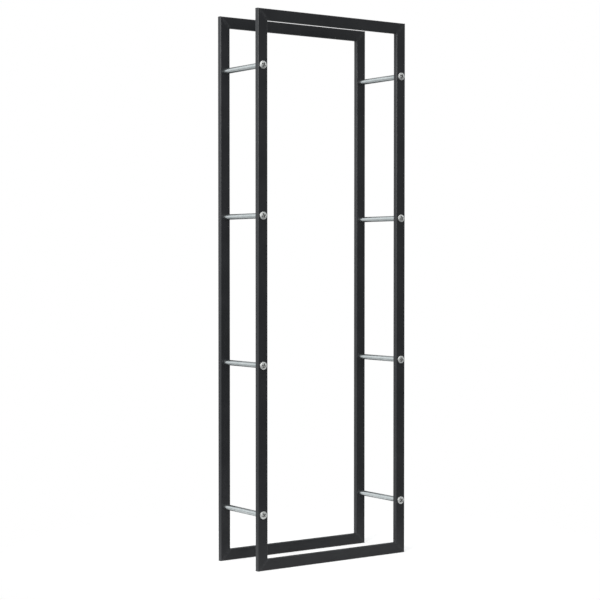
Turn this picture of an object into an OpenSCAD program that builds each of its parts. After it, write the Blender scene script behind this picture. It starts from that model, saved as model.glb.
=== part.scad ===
// Firewood log rack. Two upright rectangular frames of mitred and welded steel tube stand one behind
// the other. Round cross rods tie their uprights together, and a cross-recess screw through each
// upright holds each end of a rod. Firewood is stacked between the left and the right rods.
//
// Millimetres. The origin is on the floor in the middle of the rack: +X to the right, +Y to the
// rear, +Z up.

/* [Rack] */
// Height of both frames
rack_h = 1500; // [900:50:2000]
// Width of both frames
rack_w = 500; // [300:10:1200]
// Depth over the faces of both frames, without the screw heads
rack_d = 200; // [150:10:400]

/* [Frame tube] */
// Width of the rectangular tube, seen from the front
tube_w = 30; // [25:1:40]
// Depth of the tube from front to back
tube_d = 15; // [12:1:20]
// Wall thickness of the tube
tube_wall = 1; // [0.8:0.1:1.5]
// Outer radius of the tube's corners
tube_corner_r = 2; // [1.8:0.1:3]

/* [Cross rods] */
// Number of cross rods on each side
rod_count = 4; // [2:1:6]
// Distance of the outermost rods from the frame's top and bottom
rod_margin = 150; // [80:10:200]
// Diameter of a rod
rod_dia = 15; // [12:1:16]
// Depth of the threaded hole in each end of a rod
rod_hole_depth = 20; // [18:1:30]
// Chamfer around each end of a rod
rod_chamfer = 0.6; // [0.3:0.1:1]

/* [Screws] */
// Nominal thread diameter, shared by the screws and the rods' threaded holes
thread_dia = 8; // [6:1:8]
// Length of the screw's thread that sits inside the rod
thread_grip = 15; // [10:1:16]
// Diameter of the screw's head
head_dia = 21; // [18:0.5:23]
// Height of the screw's head
head_h = 5.5; // [5:0.5:6.5]
// Height of the straight rim under the dome of the head
head_rim_h = 2.5; // [1:0.1:3]
// Span of the cross recess, from wing tip to wing tip
recess_span = 13; // [9:0.5:13.5]
// Width of each wing of the cross recess
recess_wing = 3.2; // [2:0.1:3.6]
// Depth of the cross recess
recess_depth = 3.6; // [2.8:0.1:4]

/* [Hidden] */
$fn = 96;
eps = 0.01;

FRAMES = ["front", "rear"];
SIDES = ["left", "right"];

frame_y = rack_d / 2 - tube_d / 2;  // middle of each frame's tube, before or behind the origin
upright_x = rack_w / 2 - tube_w / 2;  // middle of each upright
rod_len = rack_d - 2 * tube_d;
rod_pitch = (rack_h - 2 * rod_margin) / (rod_count - 1);

// The screw's crests clear the threaded hole, and the screw clears the hole in the upright
thread_clearance = 0.05;
upright_hole_dia = thread_dia + 1;
thread_pitch = 1.25;
thread_depth = 0.7;
crest_r = thread_dia / 2 - thread_clearance;
root_r = crest_r - thread_depth;
screw_len = tube_d + thread_grip;
neck_len = tube_d - 5;  // plain part under the head
tip_len = 1;  // plain point at the end of the thread
turns = floor((screw_len - neck_len - tip_len) / thread_pitch);

drill_point_angle = 59;  // half of the drill's point angle
mouth_chamfer = 0.5;  // lead-in around the mouth of a threaded hole

dome_h = head_h - head_rim_h;
dome_r = (pow(head_dia / 2, 2) + pow(dome_h, 2)) / (2 * dome_h);
turn_step = 37;  // each screw stops at its own angle: this many degrees on from the one below

function sign_y(f) = f == "front" ? -1 : 1;
function sign_x(s) = s == "left" ? -1 : 1;
function rod_z(i) = rod_margin + (i - 1) * rod_pitch;

// Rectangle with rounded corners around the origin
module rounded_rect(w, d, r) {
    square([w, d - 2 * r], center = true);
    square([w - 2 * r, d], center = true);
    for (x = [-1, 1], y = [-1, 1])
        translate([x * (w / 2 - r), y * (d / 2 - r)]) circle(r = r);
}

// Cross-section of the rectangular tube, with its outer edge on x = 0
module tube_section() {
    translate([tube_w / 2, 0]) difference() {
        rounded_rect(tube_w, tube_d, tube_corner_r);
        rounded_rect(tube_w - 2 * tube_wall, tube_d - 2 * tube_wall, tube_corner_r - tube_wall);
    }
}

// One tube of a frame along +Z, with both ends cut at 45 degrees: its outer edge has the full length
module mitred_tube(len) {
    cut_d = tube_d + 2;
    intersection() {
        linear_extrude(height = len) tube_section();
        translate([0, cut_d / 2, 0]) rotate([90, 0, 0])
            linear_extrude(height = cut_d)
                polygon([[0, 0], [tube_w, tube_w], [tube_w, len - tube_w], [0, len]]);
    }
}

// Upright of one frame, with a hole through both walls at each rod
module upright(f, s) {
    color("#2c2e30")
        translate([0, sign_y(f) * frame_y, 0]) difference() {
            mirror([sign_x(s) > 0 ? 1 : 0, 0, 0])
                translate([-rack_w / 2, 0, 0]) mitred_tube(rack_h);
            for (i = [1:rod_count])
                translate([sign_x(s) * upright_x, 0, rod_z(i)]) rotate([90, 0, 0])
                    cylinder(d = upright_hole_dia, h = tube_d + 2, center = true);
        }
}

// Top or bottom rail of one frame
module rail(f, at_top) {
    color("#2c2e30")
        translate([rack_w / 2, sign_y(f) * frame_y, at_top ? rack_h : 0])
            mirror([0, 0, at_top ? 1 : 0]) rotate([0, -90, 0]) mitred_tube(rack_w);
}

// Threaded hole from the origin along -Z, with a lead-in at its mouth and a drill point at its end
module threaded_hole() {
    r = thread_dia / 2;
    point_h = r / tan(drill_point_angle);
    translate([0, 0, -rod_hole_depth]) cylinder(r = r, h = rod_hole_depth + eps);
    translate([0, 0, -rod_hole_depth - point_h]) cylinder(r1 = 0, r2 = r, h = point_h);
    translate([0, 0, -mouth_chamfer]) cylinder(r1 = r, r2 = r + mouth_chamfer, h = mouth_chamfer);
}

// Cross rod between the two frames
module rod(s, i) {
    straight_len = rod_len - 2 * rod_chamfer;
    color("silver")
        translate([sign_x(s) * upright_x, 0, rod_z(i)]) rotate([90, 0, 0]) difference() {
            union() {
                cylinder(d = rod_dia, h = straight_len, center = true);
                for (m = [0, 1]) mirror([0, 0, m]) translate([0, 0, straight_len / 2])
                    cylinder(d1 = rod_dia, d2 = rod_dia - 2 * rod_chamfer, h = rod_chamfer);
            }
            for (m = [0, 1]) mirror([0, 0, m]) translate([0, 0, rod_len / 2]) threaded_hole();
        }
}

// Tapered recess for a cross-point driver, sunk from the origin along -Z
module cross_recess() {
    translate([0, 0, -recess_depth]) intersection() {
        cylinder(d1 = recess_span / 2, d2 = recess_span, h = recess_depth);
        for (a = [0, 90]) rotate([0, 0, a])
            translate([-recess_span / 2, -recess_wing / 2, 0])
                cube([recess_span, recess_wing, recess_depth]);
    }
    translate([0, 0, -recess_depth]) cylinder(d1 = 1, d2 = recess_span / 2, h = recess_depth);
}

// Domed head of a screw on z = 0
module screw_head() {
    difference() {
        intersection() {
            translate([0, 0, head_h - dome_r]) sphere(r = dome_r);
            cylinder(d = head_dia, h = head_h);
        }
        translate([0, 0, head_h]) cross_recess();
    }
}

// Neck, thread and tip of a screw below z = 0, with its thread as rings
module screw_shank() {
    thread_end = neck_len + turns * thread_pitch;
    rotate_extrude() polygon(concat(
        [[0, eps], [crest_r, eps], [crest_r, -neck_len]],
        [for (i = [0:turns - 1], h = [0, 1])
            [h == 0 ? root_r : crest_r, -neck_len - (i + 0.5 + h * 0.5) * thread_pitch]],
        [[root_r, -thread_end - tip_len / 2], [root_r - 0.5, -screw_len], [0, -screw_len]]
    ));
}

// Screw through one upright into the end of a rod
module screw(f, s, i) {
    color("gainsboro")
        translate([sign_x(s) * upright_x, sign_y(f) * rack_d / 2, rod_z(i)])
            rotate([-sign_y(f) * 90, 0, 0]) rotate([0, 0, turn_step * i]) {
                screw_head();
                screw_shank();
            }
}

for (f = FRAMES, s = SIDES)
    upright(f, s);

for (f = FRAMES, e = ["top", "bottom"])
    rail(f, e == "top");

for (s = SIDES, i = [1:rod_count])
    rod(s, i);

for (f = FRAMES, s = SIDES, i = [1:rod_count])
    screw(f, s, i);
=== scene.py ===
"""Looks of the firewood log rack: powder-coated frames of mitred tube, zinc-plated rods and screws.

Metres, in the CAD model's frame: +X right, +Y to the rear, +Z up, floor at z = 0. Every piece takes
its place and size from the CAD node that it stands for.
"""

import math

import bmesh
import bpy
from mathutils import Matrix, Vector, noise


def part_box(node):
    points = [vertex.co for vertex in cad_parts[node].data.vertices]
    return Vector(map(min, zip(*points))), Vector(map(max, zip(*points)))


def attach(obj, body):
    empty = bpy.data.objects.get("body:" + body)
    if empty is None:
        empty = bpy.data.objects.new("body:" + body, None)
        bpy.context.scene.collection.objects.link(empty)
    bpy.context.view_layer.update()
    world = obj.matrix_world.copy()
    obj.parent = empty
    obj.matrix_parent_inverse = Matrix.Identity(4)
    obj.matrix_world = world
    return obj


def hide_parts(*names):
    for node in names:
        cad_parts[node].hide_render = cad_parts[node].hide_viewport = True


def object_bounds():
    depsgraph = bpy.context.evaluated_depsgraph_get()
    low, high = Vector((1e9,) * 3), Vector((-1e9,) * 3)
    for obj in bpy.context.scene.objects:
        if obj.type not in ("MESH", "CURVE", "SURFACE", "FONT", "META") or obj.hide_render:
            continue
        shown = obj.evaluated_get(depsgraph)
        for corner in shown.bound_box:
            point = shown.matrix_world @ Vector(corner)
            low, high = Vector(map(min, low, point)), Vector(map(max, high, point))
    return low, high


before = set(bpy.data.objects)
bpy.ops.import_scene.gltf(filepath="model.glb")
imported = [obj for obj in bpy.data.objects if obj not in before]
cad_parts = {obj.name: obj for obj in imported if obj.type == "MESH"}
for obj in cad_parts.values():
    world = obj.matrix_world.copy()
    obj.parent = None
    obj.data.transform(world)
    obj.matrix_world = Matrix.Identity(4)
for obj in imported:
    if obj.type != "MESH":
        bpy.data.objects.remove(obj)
CAD_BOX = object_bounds()
RACK_W = CAD_BOX[1].x - CAD_BOX[0].x
RACK_H = CAD_BOX[1].z

MM = 0.001
TINY = 1e-6
SHARP_EDGE = math.radians(35)  # edges sharper than this stay sharp in the shading
FACE_WEIGHT = 90  # how far large flat faces keep the shading flat beside a rounded edge
X, Y, Z = Vector((1, 0, 0)), Vector((0, 1, 0)), Vector((0, 0, 1))
FRAMES = {"front": -Y, "rear": Y}  # the way each frame faces
SIDES = {"left": X, "right": -X}  # the way from each side to the middle
ROD_COUNT = sum(name.startswith("left_rod_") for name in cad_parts)

# Rectangular steel tube
WALL = 1.0 * MM
CORNER_R = 2.0 * MM
CORNER_STEPS = 6
FLAT_STEP = 1.3 * MM
SCREW_HOLE_R = 4.5 * MM
SCREW_HOLE_SIDES = 48

# Weld along each mitre, ground down before coating
WELD_HEIGHT = 0.28 * MM
WELD_REACH = 2.6 * MM
WELD_UNEVEN = 0.7
WELD_GRAIN = 3.4 * MM
WELD_RINGS = [d * MM for d in (0, 0.8, 1.6, 2.4, 3.4, 4.8, 7.0)]  # distances from the mitre

# Cross rod
ROD_SIDES = 64
ROD_CHAMFER = 0.6 * MM
ROD_EDGE = 0.12 * MM
THREAD_R = 4.0 * MM
ROD_HOLE_DEPTH = 20.0 * MM
DRILL_POINT = 2.4 * MM
HOLE_CHAMFER = 0.5 * MM

# Screw
HEAD_RIM = 2.5 * MM
HEAD_H = 5.5 * MM
HEAD_SOFT = 0.5 * MM  # rounding between the rim and the dome
HEAD_SOFT_ANGLES = [math.radians(a) for a in (45, 68, 90)]
UNDERSIDE_SOFT = [(0, 0.25 * MM), (0.07 * MM, 0.07 * MM), (0.25 * MM, 0)]  # in from the rim, and up
DOME_RINGS = (0.2, 0.45, 0.7, 0.88, 1)  # from the recess to the rim
THREAD_CLEARANCE = 0.05 * MM
THREAD_PITCH = 1.25 * MM
THREAD_DEPTH = 0.7 * MM
THREAD_FLANK = 1.25  # steepness of the thread's flanks
THREAD_CREST = 0.12  # flat on top of the thread
ROWS_PER_TURN = 8
NECK = 10.0 * MM
TIP = 1.0 * MM
TIP_CHAMFER = 0.4 * MM
CREST_R = THREAD_R - THREAD_CLEARANCE
SCREW_TURN = math.radians(37)  # each screw stopped at its own angle, this far on from the one below

# Cross recess in the screw's head: half spans, half wing widths and corner cuts
RECESS_SPAN = 6.5 * MM
RECESS_WING = 1.6 * MM
RECESS_WING_KEEPS = 0.6  # share of the wings' width that stays where the recess narrows
RECESS_CUT = 0.8 * MM
RECESS_DEPTH = 3.6 * MM
RECESS_BOTTOM = 0.42  # size of the flat bottom, as a share of the opening
RECESS_FOOT = (0.50, 0.85 * RECESS_DEPTH)  # where the wall starts: share of the opening, depth
RECESS_LIP = [(0.93, 0.45 * MM), (0.985, 0.12 * MM), (1, 0.04 * MM)]  # share of the opening, depth
RECESS_BRIM = (0.1 * MM, 0.3 * MM)  # rings on the dome, this far outside the opening
RECESS_SHADED_BANDS = range(1, 5)  # bands of faces, counted from the middle of the bottom, which take the darker zinc that paints the shade in the recess

# Black powder coat
COAT_DARK = (0.0093, 0.0099, 0.0115)
COAT_LIGHT = (0.0150, 0.0157, 0.0175)
COAT_ROUGH = (0.32, 0.42)
WELD_SHOWS = 9.0 * MM  # the coat looks greyer and duller this near to a mitre
WELD_TINT = (0.026, 0.027, 0.029)
WELD_DULLER = 0.12

# Zinc plating: dark colour, light colour, roughness, stretch of the grain, scale of the grain
ROD_ZINC = ((0.60, 0.645, 0.645), (0.71, 0.74, 0.74), (0.20, 0.30), (1, 0.02, 1), 2500)
HEAD_ZINC = ((0.68, 0.69, 0.67), (0.86, 0.87, 0.85), (0.38, 0.52), (1, 1, 1), 500)
# The recess zinc is darker than the head's: painted shade inside the cross recess.
RECESS_SHADE_ZINC = ((0.14, 0.14, 0.14), (0.24, 0.24, 0.23), (0.36, 0.50), (1, 1, 1), 700)

# Camera
CAMERA_PLACE = (-2.620, -3.640, 0.829)
CAMERA_HEADING = math.radians(35.29)  # to the right of straight ahead
CAMERA_TILT = math.radians(-1.39)  # up from level
CAMERA_REACH = 50
LENS = 96.15

# The floor's opacity, and the radii between which it fades out
FLOOR_ALPHA = 0.40
FLOOR_SOLID = 0.35
FLOOR_R = 0.90
FLOOR_SIDES = 96

# Brightness of the room by compass direction, in degrees to the right of straight ahead
WALLS = [
    (-180, 0.34),
    (-155, 0.50),
    (-125, 0.95),
    (-90, 1.00),
    (-40, 0.97),
    (-5, 0.80),
    (20, 0.35),
    (36, 0.18),
    (52, 0.35),
    (75, 0.95),
    (105, 0.80),
    (130, 0.36),
    (150, 0.25),
    (180, 0.30),
]
# Brightness of the room by height: -1 is straight down, 0 the horizon and 1 overhead
LEVELS = [(-1.0, 0.70), (-0.30, 0.60), (-0.12, 0.48), (0.03, 1.0), (1.0, 0.95)]
ROOM_TINT = (0.975, 1.0, 1.015)

# Soft sun from above, and a small light that draws the left edges of the uprights
OVERHEAD_STRENGTH = 2.4
OVERHEAD_PLACE = (-1.2, -1.0, 4.0)
OVERHEAD_SPREAD = math.radians(50)
CORNER_LIGHT = {
    "place": (-2.70, -1.83, 1.80),
    "target": (-0.25, -0.1, 1.2),
    "size": (0.40, 0.6),
    "power": 65,
}


# ---------------------------------------------------------------- meshes


def mesh_object(name, bm):
    """A new object from a bmesh, smooth but for its sharp edges."""
    bmesh.ops.recalc_face_normals(bm, faces=bm.faces)
    mesh = bpy.data.meshes.new(name)
    bm.to_mesh(mesh)
    bm.free()
    mesh.shade_smooth()
    mesh.set_sharp_from_angle(angle=SHARP_EDGE)
    obj = bpy.data.objects.new(name, mesh)
    bpy.context.scene.collection.objects.link(obj)
    return obj


def bridge(bm, loop_a, loop_b):
    """Band of faces between two closed loops; a loop of one vertex is a pole."""
    band = []
    count = max(len(loop_a), len(loop_b))
    for i in range(count):
        j = (i + 1) % count
        if len(loop_a) == 1:
            corners = (loop_a[0], loop_b[j], loop_b[i])
        elif len(loop_b) == 1:
            corners = (loop_a[i], loop_a[j], loop_b[0])
        else:
            corners = (loop_a[i], loop_a[j], loop_b[j], loop_b[i])
        band.append(bm.faces.new(corners))
    return band


def lathe(bm, rings, angles, second_material=range(0)):
    """Closed solid about +Z from rings that start and end on the axis.

    A ring is a (radius, z) point, or a function that gives one for an angle. Bands of faces whose
    numbers are in second_material take the piece's second material."""
    loops = []
    for ring in rings:
        if not callable(ring) and ring[0] == 0:
            loops.append([bm.verts.new((0, 0, ring[1]))])
            continue
        loop = []
        for a in angles:
            r, z = ring(a) if callable(ring) else ring
            loop.append(bm.verts.new((r * math.cos(a), r * math.sin(a), z)))
        loops.append(loop)
    for number, (loop_a, loop_b) in enumerate(zip(loops, loops[1:])):
        for face in bridge(bm, loop_a, loop_b):
            face.material_index = int(number in second_material)


def even_angles(count):
    return [2 * math.pi * i / count for i in range(count)]


def cut_out(obj, cutter):
    """Cuts cutter out of obj for good, and removes cutter."""
    cut = obj.modifiers.new("cut", "BOOLEAN")
    cut.operation = "DIFFERENCE"
    cut.solver = "EXACT"
    cut.object = cutter
    graph = bpy.context.evaluated_depsgraph_get()
    uncut = obj.data
    obj.data = bpy.data.meshes.new_from_object(obj.evaluated_get(graph))
    obj.modifiers.clear()
    obj.data.materials.clear()
    obj.data.name = obj.name
    bpy.data.meshes.remove(uncut)
    bpy.data.meshes.remove(cutter.data)


def finish_piece(obj, node, slot, *materials):
    """Keeps flat faces flat beside rounded edges, and puts the piece in its node's place."""
    flat = obj.modifiers.new("flat_faces", "WEIGHTED_NORMAL")
    flat.mode = "FACE_AREA"
    flat.weight = FACE_WEIGHT
    flat.keep_sharp = True
    for material in materials:
        obj.data.materials.append(material)
    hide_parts(node)
    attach(obj, "root")


# ---------------------------------------------------------------- materials


def new_material(name):
    material = bpy.data.materials.new(name)
    material.use_nodes = True
    tree = material.node_tree
    return material, tree, tree.nodes["Principled BSDF"]


def object_coords(tree, stretch=(1, 1, 1)):
    """Object coordinates in metres, squeezed along an axis for a drawn or brushed pattern."""
    coords = tree.nodes.new("ShaderNodeTexCoord")
    mapping = tree.nodes.new("ShaderNodeMapping")
    mapping.inputs["Scale"].default_value = stretch
    tree.links.new(coords.outputs["Object"], mapping.inputs["Vector"])
    return mapping.outputs["Vector"]


def cloud(tree, vector, scale, detail=3, roughness=0.5):
    node = tree.nodes.new("ShaderNodeTexNoise")
    node.inputs["Scale"].default_value = scale
    node.inputs["Detail"].default_value = detail
    node.inputs["Roughness"].default_value = roughness
    tree.links.new(vector, node.inputs["Vector"])
    return node.outputs["Fac"]


def ramp(tree, value, low, high, at=(0.3, 0.7)):
    """Turns a 0 to 1 value into a run between two colours."""
    node = tree.nodes.new("ShaderNodeValToRGB")
    first, last = node.color_ramp.elements
    first.position, last.position = at
    first.color, last.color = (*low, 1), (*high, 1)
    tree.links.new(value, node.inputs["Fac"])
    return node.outputs["Color"]


def grey(value):
    return (value, value, value)


def bump(tree, height, strength, distance, normal=None):
    node = tree.nodes.new("ShaderNodeBump")
    node.inputs["Strength"].default_value = strength
    node.inputs["Distance"].default_value = distance
    tree.links.new(height, node.inputs["Height"])
    if normal:
        tree.links.new(normal, node.inputs["Normal"])
    return node.outputs["Normal"]


def math_node(tree, operation, *inputs):
    node = tree.nodes.new("ShaderNodeMath")
    node.operation = operation
    for socket, value in zip(node.inputs, inputs):
        if isinstance(value, (int, float)):
            socket.default_value = value
        else:
            tree.links.new(value, socket)
    return node.outputs["Value"]


def weld_zone(tree, coords):
    """1 on the mitres of the frames, and 0 from WELD_SHOWS away, in uneven spots."""
    split = tree.nodes.new("ShaderNodeSeparateXYZ")
    tree.links.new(coords, split.inputs["Vector"])
    aside = math_node(tree, "ABSOLUTE", split.outputs["X"])
    above = math_node(tree, "ABSOLUTE", math_node(tree, "SUBTRACT", split.outputs["Z"], RACK_H / 2))
    from_side = math_node(tree, "SUBTRACT", RACK_W / 2, aside)
    from_end = math_node(tree, "SUBTRACT", RACK_H / 2, above)
    off_mitre = math_node(tree, "ABSOLUTE", math_node(tree, "SUBTRACT", from_side, from_end))
    share = math_node(tree, "DIVIDE", off_mitre, WELD_SHOWS)
    near = ramp(tree, share, grey(1), grey(0), at=(0.2, 1))
    marks = cloud(tree, coords, scale=220, detail=4, roughness=0.65)
    spots = ramp(tree, marks, grey(0.05), grey(1), at=(0.42, 0.6))
    return math_node(tree, "MULTIPLY", near, spots)


def powder_coat():
    """Satin black powder coat: orange peel, faint clouds, duller patches, greyer at the welds."""
    material, tree, shader = new_material("black_powder_coat")
    coords = object_coords(tree)
    weld = weld_zone(tree, coords)
    clouds = cloud(tree, coords, scale=14, detail=4)
    specks = cloud(tree, coords, scale=1500, detail=2)
    peel = cloud(tree, coords, scale=520, detail=2, roughness=0.4)
    upright_coords = object_coords(tree, stretch=(1, 1, 0.25))
    patches = cloud(tree, upright_coords, scale=45, detail=5, roughness=0.65)
    mix = tree.nodes.new("ShaderNodeMix")
    mix.data_type = "RGBA"
    tree.links.new(weld, mix.inputs["Factor"])
    tree.links.new(ramp(tree, clouds, COAT_DARK, COAT_LIGHT), mix.inputs["A"])
    mix.inputs["B"].default_value = (*WELD_TINT, 1)
    tree.links.new(mix.outputs["Result"], shader.inputs["Base Color"])
    patch = ramp(tree, patches, grey(COAT_ROUGH[0]), grey(COAT_ROUGH[1]), at=(0.35, 0.75))
    dullness = math_node(tree, "MULTIPLY_ADD", weld, WELD_DULLER, patch)
    tree.links.new(dullness, shader.inputs["Roughness"])
    fine = bump(tree, specks, strength=0.25, distance=0.03 * MM)
    peeled = bump(tree, peel, strength=0.6, distance=0.12 * MM, normal=fine)
    tree.links.new(peeled, shader.inputs["Normal"])
    return material


def zinc(name, dark, light, rough, stretch, grain_scale):
    """Zinc plating over drawn or pressed steel, with cloudy colour and fine grain."""
    material, tree, shader = new_material(name)
    clouds = cloud(tree, object_coords(tree), scale=60, detail=4)
    grain_coords = object_coords(tree, stretch)
    grain = cloud(tree, grain_coords, scale=grain_scale, detail=4, roughness=0.6)
    tree.links.new(ramp(tree, clouds, dark, light), shader.inputs["Base Color"])
    shader.inputs["Metallic"].default_value = 1
    tree.links.new(ramp(tree, grain, grey(rough[0]), grey(rough[1])), shader.inputs["Roughness"])
    grain_bump = bump(tree, grain, strength=0.25, distance=0.03 * MM)
    tree.links.new(grain_bump, shader.inputs["Normal"])
    return material


def floor_paper():
    """Thin white paper that fades out around the rack, so that the floor has no edge."""
    material, tree, shader = new_material("pale_floor")
    coords = object_coords(tree)
    clouds = cloud(tree, coords, scale=3)
    tree.links.new(ramp(tree, clouds, grey(0.86), grey(0.88)), shader.inputs["Base Color"])
    shader.inputs["Roughness"].default_value = 0.8
    distance = tree.nodes.new("ShaderNodeVectorMath")
    distance.operation = "LENGTH"
    tree.links.new(coords, distance.inputs[0])
    radii = (FLOOR_SOLID, FLOOR_R)
    fade = ramp(tree, distance.outputs["Value"], grey(FLOOR_ALPHA), grey(0), at=radii)
    tree.links.new(fade, shader.inputs["Alpha"])
    return material


# ---------------------------------------------------------------- frames


def tube_section(width, depth):
    """Outline of the tube as ((across, depth), normal) pairs; across runs from the outer edge."""
    half_w, half_d = width / 2 - CORNER_R, depth / 2 - CORNER_R
    corners = [(half_w, half_d), (-half_w, half_d), (-half_w, -half_d), (half_w, -half_d)]
    outline = []
    for k, (cx, cy) in enumerate(corners):
        for i in range(CORNER_STEPS + 1):
            a = math.radians(90 * (k + i / CORNER_STEPS))
            n = Vector((math.cos(a), math.sin(a)))
            outline.append((Vector((cx + width / 2, cy)) + n * CORNER_R, n))
        flat_start, n = outline[-1]
        run = Vector((-n.y, n.x)) * 2 * (half_d if k % 2 else half_w)
        steps = round(run.length / FLAT_STEP)
        outline += [(flat_start + run * i / steps, n) for i in range(1, steps)]
    return outline


def weld_height(distance, seam_point):
    """Height of the ground weld at a distance from the mitre, uneven along the seam."""
    fade = math.exp(-((distance / WELD_REACH) ** 2))
    return WELD_HEIGHT * fade * (1 + WELD_UNEVEN * noise.noise(seam_point / WELD_GRAIN))


def drill(obj, centres, reach):
    """Drills the tube's screw holes from front to back, this far to each side of their centres."""
    for centre in centres:
        bm = bmesh.new()
        ends = [(SCREW_HOLE_R, -reach), (SCREW_HOLE_R, reach)]
        lathe(bm, [(0, -reach), *ends, (0, reach)], even_angles(SCREW_HOLE_SIDES))
        bm.transform(Matrix.Translation(centre) @ Matrix.Rotation(math.pi / 2, 4, "X"))
        cut_out(obj, mesh_object("drill", bm))
    obj.data.set_sharp_from_angle(angle=SHARP_EDGE)


def tube(node, along, inward, holes=()):
    """One hollow mitred tube of a frame, with a ground weld at each mitre and its screw holes.

    along is the tube's direction, and inward points from its outer edge to the frame's middle."""
    lo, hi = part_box(node)
    length, width, depth = (abs((hi - lo).dot(v)) for v in (along, inward, Y))
    start = (lo + hi) / 2 - along * length / 2 - inward * width / 2
    section = tube_section(width, depth)
    bore = [(p - n * WALL, n) for p, n in section]
    bm = bmesh.new()

    def place(across, deep, up):
        return start + along * up + inward * across + Y * deep

    def ring(outline, distance, at_end, welded):
        """A loop of vertices at a distance from one mitre, and parallel to it."""
        loop = []
        for p, n in outline:
            if welded:
                seam = place(p.x, p.y, length - p.x if at_end else p.x)
                p = p + n * weld_height(distance, seam)
            up = p.x + distance
            loop.append(bm.verts.new(place(p.x, p.y, length - up if at_end else up)))
        return loop

    outside = [ring(section, d, False, True) for d in WELD_RINGS]
    outside += [ring(section, d, True, True) for d in reversed(WELD_RINGS)]
    inside = [ring(bore, 0, at_end, False) for at_end in (True, False)]
    loops = outside + inside
    for loop_a, loop_b in zip(loops, loops[1:] + loops[:1]):
        bridge(bm, loop_a, loop_b)
    obj = mesh_object(f"{node}_tube", bm)
    if holes:
        drill(obj, holes, depth)
    return obj


# ---------------------------------------------------------------- rods and screws


def cross_rod(name, node):
    """Round rod with softened chamfers and a blind hole in each end."""
    lo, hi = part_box(node)
    half, r = (hi.y - lo.y) / 2, (hi.x - lo.x) / 2
    end = [
        (0, half - ROD_HOLE_DEPTH - DRILL_POINT),
        (THREAD_R, half - ROD_HOLE_DEPTH),
        (THREAD_R, half - HOLE_CHAMFER),
        (THREAD_R + HOLE_CHAMFER, half),
        (r - ROD_CHAMFER - ROD_EDGE, half),
        (r - ROD_CHAMFER, half - ROD_EDGE / 3),
        (r - ROD_EDGE / 3, half - ROD_CHAMFER),
        (r, half - ROD_CHAMFER - ROD_EDGE),
    ]
    bm = bmesh.new()
    lathe(bm, end + [(p, -z) for p, z in reversed(end)], even_angles(ROD_SIDES))
    bm.transform(Matrix.Translation((lo + hi) / 2) @ Matrix.Rotation(math.pi / 2, 4, "X"))
    return mesh_object(name, bm)


def cross_radius(angle, grow=0.0, shrink=1.0):
    """Distance from the axis to the outline of the cross recess, in the direction of angle."""
    turn = abs((angle + math.pi / 4) % (math.pi / 2) - math.pi / 4)
    span = RECESS_SPAN * shrink + grow
    wing = RECESS_WING * (RECESS_WING_KEEPS + (1 - RECESS_WING_KEEPS) * shrink) + grow
    tip = span / math.cos(turn)
    side = wing / max(math.sin(turn), TINY)
    core = (2 * wing + RECESS_CUT * shrink) / (math.cos(turn) + math.sin(turn))
    return max(min(tip, side), core)


def recess_angles():
    """Angles around the screw that fall on the corners of its cross recess."""
    tip = math.atan2(RECESS_WING, RECESS_SPAN)
    core = math.atan2(RECESS_WING, RECESS_WING + RECESS_CUT)
    steps = 4
    eighth = [0, tip / 2, tip]
    eighth += [tip + (core - tip) * i / steps for i in range(1, steps + 1)]
    eighth += [(core + math.pi / 4) / 2]
    quarter = eighth + [math.pi / 4] + [math.pi / 2 - a for a in reversed(eighth[1:])]
    return [a + k * math.pi / 2 for k in range(4) for a in quarter]


def head_rings(head_r):
    """Rings of the screw's head from the bottom of its recess to its underside at z = 0."""
    dome_h = HEAD_H - HEAD_RIM
    dome_r = (head_r**2 + dome_h**2) / (2 * dome_h)
    soft_r = head_r - HEAD_SOFT

    def dome_z(r):
        return HEAD_H - dome_r + math.sqrt(dome_r**2 - r**2)

    def at_floor(shrink, depth):
        return lambda a: (cross_radius(a, shrink=shrink), HEAD_H - depth)

    def in_recess(shrink, depth):
        return lambda a: (cross_radius(a, shrink=shrink), dome_z(cross_radius(a)) - depth)

    def on_dome(blend, grow):
        def point(a):
            r = cross_radius(a, grow) * (1 - blend) + soft_r * blend
            return r, dome_z(r)

        return point

    rings = [(0, HEAD_H - RECESS_DEPTH), at_floor(RECESS_BOTTOM, RECESS_DEPTH)]
    rings += [at_floor(*RECESS_FOOT)]
    rings += [in_recess(share, depth) for share, depth in RECESS_LIP]
    rings += [on_dome(0, grow) for grow in RECESS_BRIM]
    rings += [on_dome(blend, RECESS_BRIM[-1]) for blend in DOME_RINGS]
    edge_z = dome_z(soft_r)
    rings += [
        (head_r - HEAD_SOFT * (1 - math.sin(t)), edge_z - HEAD_SOFT * (1 - math.cos(t)))
        for t in HEAD_SOFT_ANGLES
    ]
    return rings + [(head_r - inwards, up) for inwards, up in UNDERSIDE_SOFT]


def shank_rings(length):
    """Rings of the plain neck, the helical thread and the tip below z = 0."""
    threaded = length - NECK - TIP
    rows = round(threaded / THREAD_PITCH * ROWS_PER_TURN)

    def thread_row(below):
        fade = min(1, below / THREAD_PITCH)

        def point(a):
            turn = (below / THREAD_PITCH + a / (2 * math.pi)) % 1
            flank = THREAD_FLANK * (1 - abs(2 * turn - 1)) - THREAD_CREST
            valley = min(1, max(0, flank))
            return CREST_R - THREAD_DEPTH * valley * fade, -NECK - below

        return point

    rings = [(CREST_R, 0), (CREST_R, -NECK)]
    rings += [thread_row(threaded * i / rows) for i in range(1, rows + 1)]
    return rings + [(CREST_R - THREAD_DEPTH - TIP_CHAMFER, -length), (0, -length)]


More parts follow.
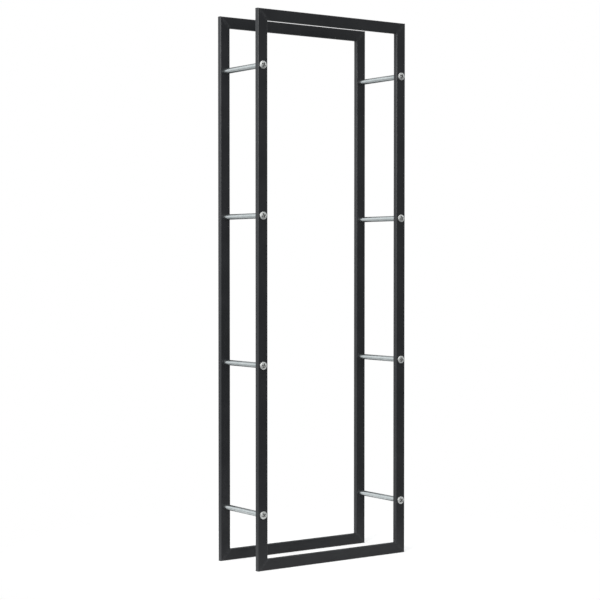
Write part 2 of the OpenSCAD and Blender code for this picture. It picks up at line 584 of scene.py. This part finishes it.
def screw(name, node, facing, number):
    """Machine screw with a domed head that faces outwards from its frame."""
    lo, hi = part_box(node)
    tube_lo, tube_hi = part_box(node.rsplit("_screw_", 1)[0] + "_upright")
    seat_y = tube_hi.y if facing.y > 0 else tube_lo.y
    shank_end = lo.y if facing.y > 0 else hi.y
    bm = bmesh.new()
    rings = head_rings((hi.z - lo.z) / 2) + shank_rings(abs(seat_y - shank_end))
    # The recess bands take the second material, a darker zinc that paints the shade in the recess.
    lathe(bm, rings, recess_angles(), RECESS_SHADED_BANDS)
    seat = Vector(((lo.x + hi.x) / 2, seat_y, (lo.z + hi.z) / 2))
    out = Matrix.Rotation(-facing.y * math.pi / 2, 4, "X")
    bm.transform(Matrix.Translation(seat) @ out @ Matrix.Rotation(SCREW_TURN * number, 4, "Z"))
    return mesh_object(name, bm)


# ---------------------------------------------------------------- the rack


def build_rack():
    coat = powder_coat()
    rod_zinc = zinc("zinc_rod", *ROD_ZINC)
    head_zinc = zinc("zinc_screw", *HEAD_ZINC)
    # Darker zinc for the cross recess: painted shade where the recess lies in shadow.
    recess_shade_zinc = zinc("zinc_painted_recess_shade", *RECESS_SHADE_ZINC)
    for f in FRAMES:
        for s, inward in SIDES.items():
            node = f"{f}_{s}_upright"
            middle_y = sum(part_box(node), Vector()).y / 2
            rods = [sum(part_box(f"{s}_rod_{i + 1}"), Vector()) / 2 for i in range(ROD_COUNT)]
            holes = [Vector((r.x, middle_y, r.z)) for r in rods]
            finish_piece(tube(node, Z, inward, holes), node, "black_powder_coat", coat)
        for e, inward in (("top", -Z), ("bottom", Z)):
            node = f"{f}_{e}_rail"
            finish_piece(tube(node, X, inward), node, "black_powder_coat", coat)
    for s in SIDES:
        for i in range(1, ROD_COUNT + 1):
            node = f"{s}_rod_{i}"
            piece = cross_rod(f"{s}_cross_rod_{i}", node)
            finish_piece(piece, node, "zinc_plated_rod", rod_zinc)
            for f, facing in FRAMES.items():
                node = f"{f}_{s}_screw_{i}"
                piece = screw(f"{f}_{s}_domed_screw_{i}", node, facing, i)
                finish_piece(piece, node, "zinc_plated_screw", head_zinc, recess_shade_zinc)


# ---------------------------------------------------------------- studio


def floor():
    bm = bmesh.new()
    bmesh.ops.create_circle(bm, cap_ends=True, radius=FLOOR_R, segments=FLOOR_SIDES)
    obj = mesh_object("floor", bm)
    obj.data.materials.append(floor_paper())


def brightness_ramp(tree, value, stops, tint=(1, 1, 1)):
    """Brightness along a 0 to 1 value, from (place, brightness) stops."""
    node = tree.nodes.new("ShaderNodeValToRGB")
    elements = node.color_ramp.elements
    for _ in range(len(stops) - 2):
        elements.new(0.5)
    for element, (place, brightness) in zip(elements, stops):
        element.position = place
        element.color = (*(brightness * t for t in tint), 1)
    tree.links.new(value, node.inputs["Fac"])
    return node.outputs["Color"]


def studio_world():
    """White to the camera. The object sees a soft room, brighter to its left and right."""
    world = bpy.data.worlds.new("studio")
    world.use_nodes = True
    tree = world.node_tree
    tree.nodes.clear()
    coords = tree.nodes.new("ShaderNodeTexCoord")
    split = tree.nodes.new("ShaderNodeSeparateXYZ")
    tree.links.new(coords.outputs["Generated"], split.inputs["Vector"])
    compass = math_node(tree, "ARCTAN2", split.outputs["X"], split.outputs["Y"])
    around = math_node(tree, "MULTIPLY_ADD", compass, 1 / (2 * math.pi), 0.5)
    height = math_node(tree, "MULTIPLY_ADD", split.outputs["Z"], 0.5, 0.5)
    walls = brightness_ramp(tree, around, [(0.5 + a / 360, v) for a, v in WALLS], ROOM_TINT)
    levels = brightness_ramp(tree, height, [(0.5 + z / 2, v) for z, v in LEVELS])
    room_color = tree.nodes.new("ShaderNodeVectorMath")
    room_color.operation = "MULTIPLY"
    tree.links.new(walls, room_color.inputs[0])
    tree.links.new(levels, room_color.inputs[1])
    room = tree.nodes.new("ShaderNodeBackground")
    tree.links.new(room_color.outputs["Vector"], room.inputs["Color"])
    white = tree.nodes.new("ShaderNodeBackground")
    white.inputs["Color"].default_value = (1, 1, 1, 1)
    rays = tree.nodes.new("ShaderNodeLightPath")
    mix = tree.nodes.new("ShaderNodeMixShader")
    tree.links.new(rays.outputs["Is Camera Ray"], mix.inputs["Fac"])
    tree.links.new(room.outputs["Background"], mix.inputs[1])
    tree.links.new(white.outputs["Background"], mix.inputs[2])
    output = tree.nodes.new("ShaderNodeOutputWorld")
    tree.links.new(mix.outputs["Shader"], output.inputs["Surface"])
    bpy.context.scene.world = world


def aim(obj, place, target):
    obj.location = place
    obj.rotation_mode = "QUATERNION"
    obj.rotation_quaternion = (Vector(target) - Vector(place)).to_track_quat("-Z", "Y")


def softbox(name, place, target, size, power):
    light = bpy.data.lights.new(name, "AREA")
    light.shape = "RECTANGLE"
    light.size, light.size_y = size
    light.energy = power
    obj = bpy.data.objects.new(name, light)
    aim(obj, place, target)
    obj.visible_camera = False
    bpy.context.scene.collection.objects.link(obj)


def overhead(strength, place):
    """Very soft light from above, which keeps the floor evenly white."""
    light = bpy.data.lights.new("overhead", "SUN")
    light.energy = strength
    light.angle = OVERHEAD_SPREAD
    obj = bpy.data.objects.new("overhead", light)
    aim(obj, place, (0, 0, 0))
    bpy.context.scene.collection.objects.link(obj)


def camera():
    data = bpy.data.cameras.new("camera")
    data.lens = LENS
    data.clip_end = CAMERA_REACH
    obj = bpy.data.objects.new("camera", data)
    obj.location = CAMERA_PLACE
    obj.rotation_euler = (math.pi / 2 + CAMERA_TILT, 0, -CAMERA_HEADING)
    bpy.context.scene.collection.objects.link(obj)
    bpy.context.scene.camera = obj


build_rack()
floor()
studio_world()
overhead(OVERHEAD_STRENGTH, OVERHEAD_PLACE)
softbox("corner_light", **CORNER_LIGHT)
camera()
bpy.context.scene.view_settings.view_transform = "Standard"
